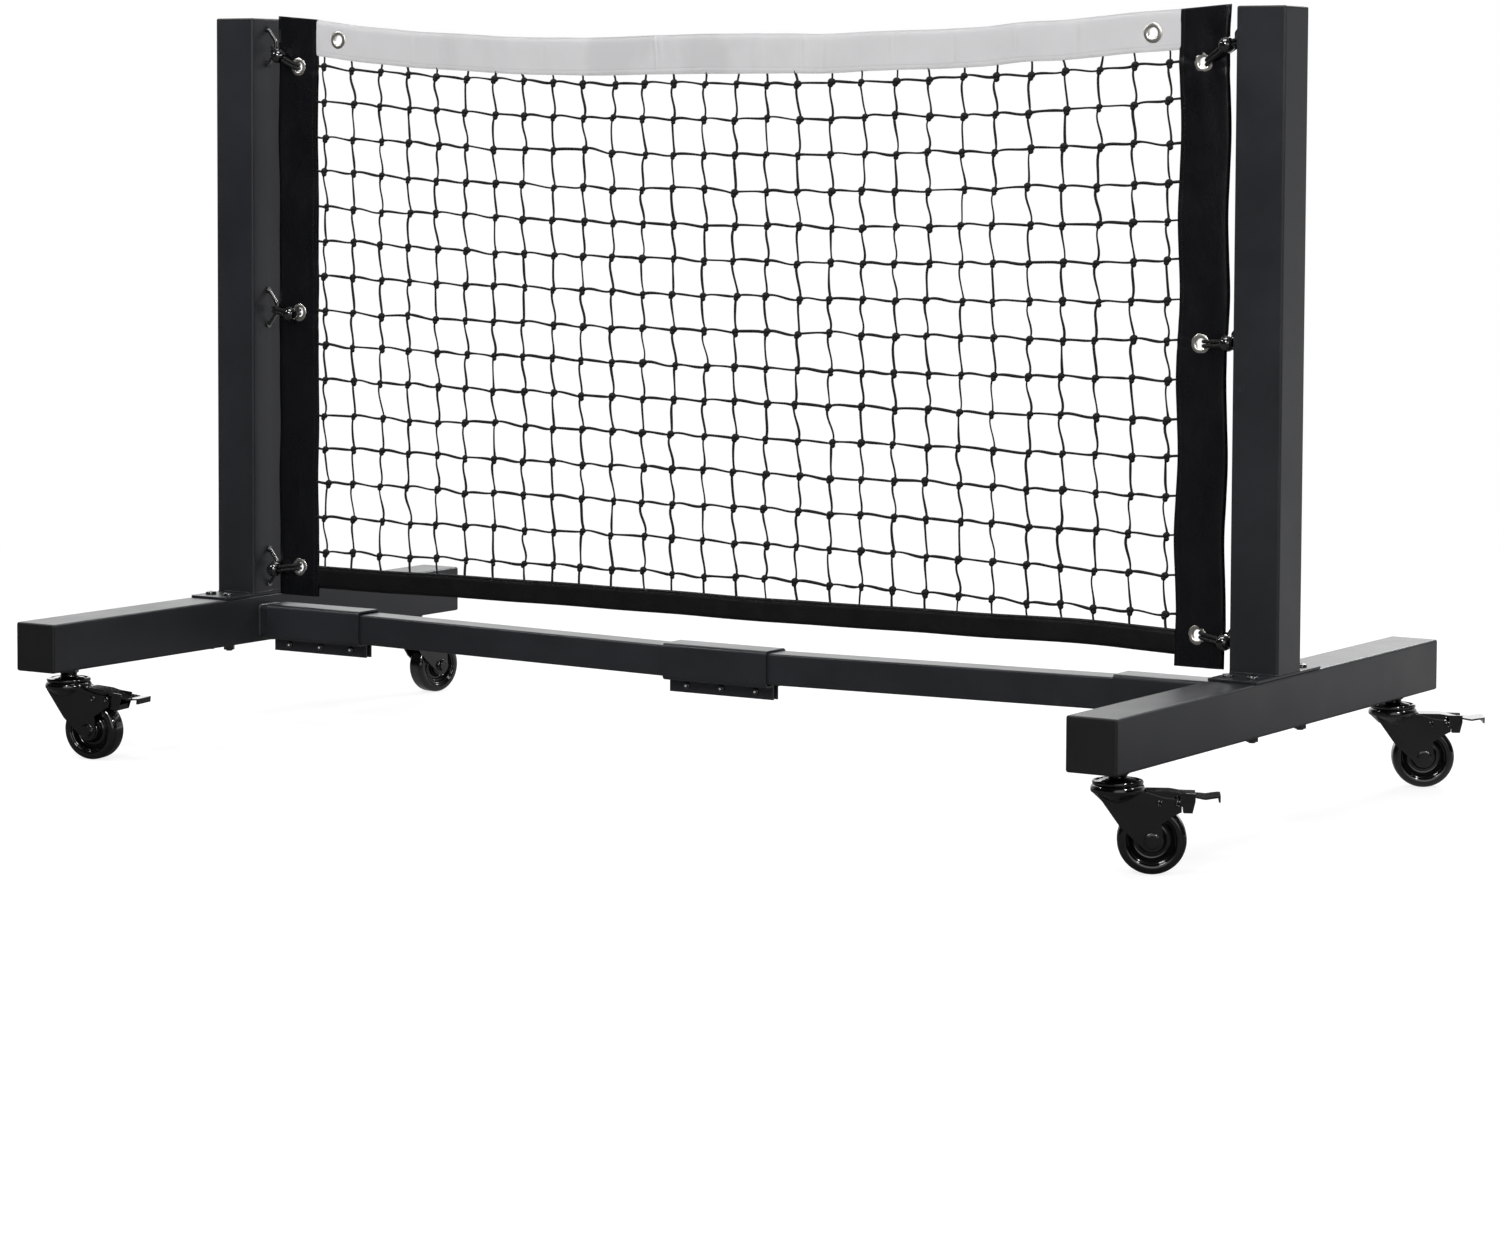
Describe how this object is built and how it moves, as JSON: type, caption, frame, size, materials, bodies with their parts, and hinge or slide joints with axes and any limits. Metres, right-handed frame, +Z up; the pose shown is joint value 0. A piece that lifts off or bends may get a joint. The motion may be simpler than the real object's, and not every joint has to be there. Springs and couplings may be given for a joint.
{
  "type": "portable pickleball net",
  "caption": "Low wheeled training net for pickleball: square steel posts on caster feet, a clamped cross bar, and a knotted mesh in fabric bands tied to the posts by ball bungees",
  "frame": {"origin": "on the floor, midway between the two posts, in the net's plane", "axes": "+X along the net to the right post, +Y to the rear, +Z up"},
  "size_m": [1.5813, 0.8729, 0.917],
  "materials": {
    "powder_coat": "satin black powder coat",
    "cap_plastic": "moulded black plastic",
    "black_fasteners": "black coated steel",
    "caster_black_steel": "gloss black coating",
    "zinc_steel": "gloss black coating",
    "tread": "smooth black polyurethane",
    "core_plastic": "moulded black core",
    "white_band": "coated white webbing, creased",
    "black_band": "coated black cloth, softly creased",
    "twine": "knotted black twine",
    "eyelet_metal": "nickel-plated eyelet",
    "ball_plastic": "moulded gloss black",
    "elastic_cord": "braided cover over elastic"
  },
  "bodies": {
    "stand": {"base_plate_bolts": "black_fasteners", "base_plate_nuts": "black_fasteners", "bungee_balls": "ball_plastic", "bungee_cords": "elastic_cord", "centre_clamp": "powder_coat", "clamp_nuts": "black_fasteners", "clamp_screws": "black_fasteners", "foot_end_caps": "cap_plastic", "front_left_caster_stem": "zinc_steel", "front_right_caster_stem": "zinc_steel", "left_base_plate": "powder_coat", "left_clamp": "powder_coat", "left_cross_tube": "powder_coat", "left_foot_tube": "powder_coat", "left_hook_loops": "black_fasteners", "left_post": "powder_coat", "left_stub_tube": "powder_coat", "net_bottom_band": "black_band", "net_left_side_band": "black_band", "net_mesh": "twine", "net_right_side_band": "black_band", "net_top_band": "white_band", "post_caps": "cap_plastic", "rear_left_caster_stem": "zinc_steel", "rear_right_caster_stem": "zinc_steel", "right_base_plate": "powder_coat", "right_clamp": "powder_coat", "right_cross_tube": "powder_coat", "right_foot_tube": "powder_coat", "right_hook_loops": "black_fasteners", "right_post": "powder_coat", "right_stub_tube": "powder_coat", "side_band_grommets": "eyelet_metal", "top_band_grommets": "eyelet_metal"},
    "front_left_swivel": {"front_left_caster_axle": "caster_black_steel", "front_left_caster_fork": "caster_black_steel", "front_left_caster_pedal_pins": "caster_black_steel"},
    "front_left_wheel": {"front_left_caster_tyre": "tread", "front_left_caster_wheel_core": "core_plastic"},
    "front_left_pedal": {"front_left_caster_brake_pedal": "caster_black_steel"},
    "front_right_swivel": {"front_right_caster_axle": "caster_black_steel", "front_right_caster_fork": "caster_black_steel", "front_right_caster_pedal_pins": "caster_black_steel"},
    "front_right_wheel": {"front_right_caster_tyre": "tread", "front_right_caster_wheel_core": "core_plastic"},
    "front_right_pedal": {"front_right_caster_brake_pedal": "caster_black_steel"},
    "rear_left_swivel": {"rear_left_caster_axle": "caster_black_steel", "rear_left_caster_fork": "caster_black_steel", "rear_left_caster_pedal_pins": "caster_black_steel"},
    "rear_left_wheel": {"rear_left_caster_tyre": "tread", "rear_left_caster_wheel_core": "core_plastic"},
    "rear_left_pedal": {"rear_left_caster_brake_pedal": "caster_black_steel"},
    "rear_right_swivel": {"rear_right_caster_axle": "caster_black_steel", "rear_right_caster_fork": "caster_black_steel", "rear_right_caster_pedal_pins": "caster_black_steel"},
    "rear_right_wheel": {"rear_right_caster_tyre": "tread", "rear_right_caster_wheel_core": "core_plastic"},
    "rear_right_pedal": {"rear_right_caster_brake_pedal": "caster_black_steel"}
  },
  "joints": [
    {"name": "front_left_swivel_turn", "type": "hinge", "parent": "stand", "child": "front_left_swivel", "pos_m": [-0.725, -0.352, 0.09], "axis": [0, 0, 1], "continuous": true},
    {"name": "front_left_wheel_spin", "type": "hinge", "parent": "front_left_swivel", "child": "front_left_wheel", "pos_m": [-0.68955, -0.34575, 0.0365], "axis": [-0.1736, 0.9848, 0], "continuous": true},
    {"name": "front_left_pedal_press", "type": "hinge", "parent": "front_left_swivel", "child": "front_left_pedal", "pos_m": [-0.68167, -0.34436, 0.0765], "axis": [-0.1736, 0.9848, 0], "range_deg": [-5, 12]},
    {"name": "front_right_swivel_turn", "type": "hinge", "parent": "stand", "child": "front_right_swivel", "pos_m": [0.725, -0.352, 0.09], "axis": [0, 0, 1], "continuous": true},
    {"name": "front_right_wheel_spin", "type": "hinge", "parent": "front_right_swivel", "child": "front_right_wheel", "pos_m": [0.75679, -0.3351, 0.0365], "axis": [-0.4695, 0.8829, 0], "continuous": true},
    {"name": "front_right_pedal_press", "type": "hinge", "parent": "front_right_swivel", "child": "front_right_pedal", "pos_m": [0.76385, -0.33134, 0.0765], "axis": [-0.4695, 0.8829, 0], "range_deg": [0, 17]},
    {"name": "rear_left_swivel_turn", "type": "hinge", "parent": "stand", "child": "rear_left_swivel", "pos_m": [-0.725, 0.352, 0.09], "axis": [0, 0, 1], "continuous": true},
    {"name": "rear_left_wheel_spin", "type": "hinge", "parent": "rear_left_swivel", "child": "rear_left_wheel", "pos_m": [-0.71875, 0.38745, 0.0365], "axis": [-0.9848, 0.1736, 0], "continuous": true},
    {"name": "rear_left_pedal_press", "type": "hinge", "parent": "rear_left_swivel", "child": "rear_left_pedal", "pos_m": [-0.71736, 0.39533, 0.0765], "axis": [-0.9848, 0.1736, 0], "range_deg": [0, 17]},
    {"name": "rear_right_swivel_turn", "type": "hinge", "parent": "stand", "child": "rear_right_swivel", "pos_m": [0.725, 0.352, 0.09], "axis": [0, 0, 1], "continuous": true},
    {"name": "rear_right_wheel_spin", "type": "hinge", "parent": "rear_right_swivel", "child": "rear_right_wheel", "pos_m": [0.75618, 0.37, 0.0365], "axis": [-0.5, 0.866, 0], "continuous": true},
    {"name": "rear_right_pedal_press", "type": "hinge", "parent": "rear_right_swivel", "child": "rear_right_pedal", "pos_m": [0.76311, 0.374, 0.0765], "axis": [-0.5, 0.866, 0], "range_deg": [0, 17]}
  ]
}
